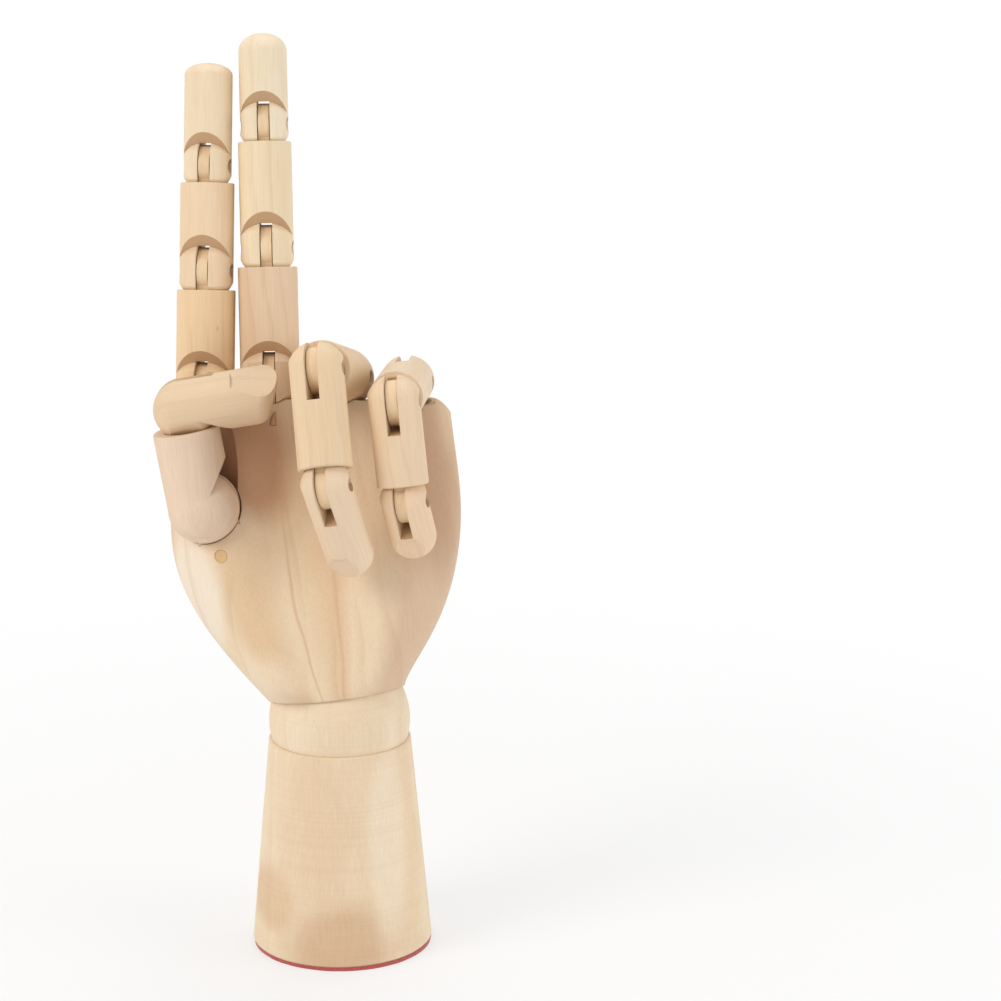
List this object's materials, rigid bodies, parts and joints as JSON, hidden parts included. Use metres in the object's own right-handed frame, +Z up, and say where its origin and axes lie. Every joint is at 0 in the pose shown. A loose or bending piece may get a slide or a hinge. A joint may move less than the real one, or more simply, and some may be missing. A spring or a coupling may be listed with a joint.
{
  "type": "jointed wooden hand mannequin",
  "caption": "Jointed wooden hand for drawing: phalanges hinged on tongues and pins, and a palm that tilts on a spring held wrist ball over a tapered forearm base.",
  "frame": {"origin": "middle of the felt underside, on which the hand stands", "axes": "+Z up the forearm, -Y the way the palm faces, -X the thumb side"},
  "size_m": [0.0943, 0.0801, 0.2846],
  "materials": {
    "base_wood": "sanded pale hardwood",
    "ball_wood": "sanded pale hardwood",
    "palm_wood": "sanded pale hardwood",
    "finger_wood": "sanded pale hardwood",
    "tongue_wood": "sanded pale hardwood",
    "dowel_wood": "sanded end grain",
    "steel_pin": "cut steel wire",
    "steel_eye": "zinc plated steel",
    "spring_steel": "drawn spring wire",
    "felt": "pressed wool felt"
  },
  "bodies": {
    "base": {"forearm_base": "base_wood", "base_felt": "felt", "spring_pin": "steel_pin"},
    "wrist_ball": {"wrist_ball": "ball_wood"},
    "wrist_spring": {"wrist_spring": "spring_steel"},
    "palm": {"palm": "palm_wood", "spring_eye": "steel_eye", "thumb_dowel": "dowel_wood", "thumb_root_tongue": "tongue_wood", "index_root_tongue": "tongue_wood", "middle_root_tongue": "tongue_wood", "ring_root_tongue": "tongue_wood", "little_root_tongue": "tongue_wood"},
    "index_root": {"index_root": "finger_wood", "index_root_pin": "steel_pin", "index_mid_tongue": "tongue_wood"},
    "index_mid": {"index_mid": "finger_wood", "index_mid_pin": "steel_pin", "index_tip_tongue": "tongue_wood"},
    "index_tip": {"index_tip": "finger_wood", "index_tip_pin": "steel_pin"},
    "middle_root": {"middle_root": "finger_wood", "middle_root_pin": "steel_pin", "middle_mid_tongue": "tongue_wood"},
    "middle_mid": {"middle_mid": "finger_wood", "middle_mid_pin": "steel_pin", "middle_tip_tongue": "tongue_wood"},
    "middle_tip": {"middle_tip": "finger_wood", "middle_tip_pin": "steel_pin"},
    "ring_root": {"ring_root": "finger_wood", "ring_root_pin": "steel_pin", "ring_mid_tongue": "tongue_wood"},
    "ring_mid": {"ring_mid": "finger_wood", "ring_mid_pin": "steel_pin", "ring_tip_tongue": "tongue_wood"},
    "ring_tip": {"ring_tip": "finger_wood", "ring_tip_pin": "steel_pin"},
    "little_root": {"little_root": "finger_wood", "little_root_pin": "steel_pin", "little_mid_tongue": "tongue_wood"},
    "little_mid": {"little_mid": "finger_wood", "little_mid_pin": "steel_pin", "little_tip_tongue": "tongue_wood"},
    "little_tip": {"little_tip": "finger_wood", "little_tip_pin": "steel_pin"},
    "thumb_root": {"thumb_root": "finger_wood", "thumb_root_pin": "steel_pin", "thumb_tip_tongue": "tongue_wood"},
    "thumb_tip": {"thumb_tip": "finger_wood", "thumb_tip_pin": "steel_pin"}
  },
  "joints": [
    {"name": "wrist_turn", "type": "hinge", "parent": "base", "child": "wrist_ball", "pos_m": [0, 0, 0.0738], "axis": [0, 0, 1], "continuous": true},
    {"name": "wrist_fore_back", "type": "hinge", "parent": "wrist_ball", "child": "wrist_spring", "pos_m": [0, 0, 0.0738], "axis": [1, 0, 0], "range_deg": [-14, 32], "deforming": ["wrist_spring"]},
    {"name": "wrist_side", "type": "hinge", "parent": "wrist_spring", "child": "palm", "pos_m": [0, 0, 0.0738], "axis": [0, 0.9833, -0.1822], "range_deg": [-17, 29]},
    {"name": "index_root_joint", "type": "hinge", "parent": "palm", "child": "index_root", "pos_m": [-0.04186, 0.01897, 0.17617], "axis": [0.996, -0.089, -0.0021], "range_deg": [0, 40]},
    {"name": "index_mid_joint", "type": "hinge", "parent": "index_root", "child": "index_mid", "pos_m": [-0.04119, 0.02562, 0.21205], "axis": [0.996, -0.089, -0.0021], "range_deg": [0, 90]},
    {"name": "index_tip_joint", "type": "hinge", "parent": "index_mid", "child": "index_tip", "pos_m": [-0.04059, 0.03156, 0.2441], "axis": [0.996, -0.089, -0.0021], "range_deg": [0, 90]},
    {"name": "middle_root_joint", "type": "hinge", "parent": "palm", "child": "middle_root", "pos_m": [-0.02137, 0.01953, 0.17919], "axis": [0.9992, 0.0377, 0.0116], "range_deg": [0, 40]},
    {"name": "middle_mid_joint", "type": "hinge", "parent": "middle_root", "child": "middle_mid", "pos_m": [-0.02211, 0.02691, 0.219], "axis": [0.9992, 0.0377, 0.0116], "range_deg": [0, 90]},
    {"name": "middle_tip_joint", "type": "hinge", "parent": "middle_mid", "child": "middle_tip", "pos_m": [-0.02281, 0.03389, 0.25666], "axis": [0.9992, 0.0377, 0.0116], "range_deg": [0, 90]},
    {"name": "ring_root_joint", "type": "hinge", "parent": "palm", "child": "ring_root", "pos_m": [0.00148, 0.01949, 0.17895], "axis": [-0.9848, 0.1498, -0.0878], "range_deg": [-5.6, 84.4]},
    {"name": "ring_mid_joint", "type": "hinge", "parent": "ring_root", "child": "ring_mid", "pos_m": [-0.00449, -0.01403, 0.18863], "axis": [-0.98, 0.1312, -0.1495], "range_deg": [-4.2, 85.8]},
    {"name": "ring_tip_joint", "type": "hinge", "parent": "ring_mid", "child": "ring_tip", "pos_m": [-0.0012, -0.02685, 0.1558], "axis": [0.9591, -0.2174, 0.181], "range_deg": [-41.5, 48.5]},
    {"name": "little_root_joint", "type": "hinge", "parent": "palm", "child": "little_root", "pos_m": [0.02146, 0.01919, 0.17736], "axis": [-0.9937, 0.082, -0.077], "range_deg": [-1, 89]},
    {"name": "little_mid_joint", "type": "hinge", "parent": "little_root", "child": "little_mid", "pos_m": [0.01869, -0.01326, 0.17862], "axis": [-0.9899, 0.0802, -0.1169], "range_deg": [-4, 83.7]},
    {"name": "little_tip_joint", "type": "hinge", "parent": "little_mid", "child": "little_tip", "pos_m": [0.02181, -0.018, 0.14895], "axis": [0.9699, -0.2029, 0.1344], "range_deg": [-27.3, 40]},
    {"name": "thumb_root_joint", "type": "hinge", "parent": "palm", "child": "thumb_root", "pos_m": [-0.04095, -0.00144, 0.1429], "axis": [0.0364, -0.9992, 0.0167], "range_deg": [-10, 58]},
    {"name": "thumb_tip_joint", "type": "hinge", "parent": "thumb_root", "child": "thumb_tip", "pos_m": [-0.04616, -0.00111, 0.17396], "axis": [-0.0032, -0.9999, 0.01], "range_deg": [-1.8, 90.2]}
  ]
}
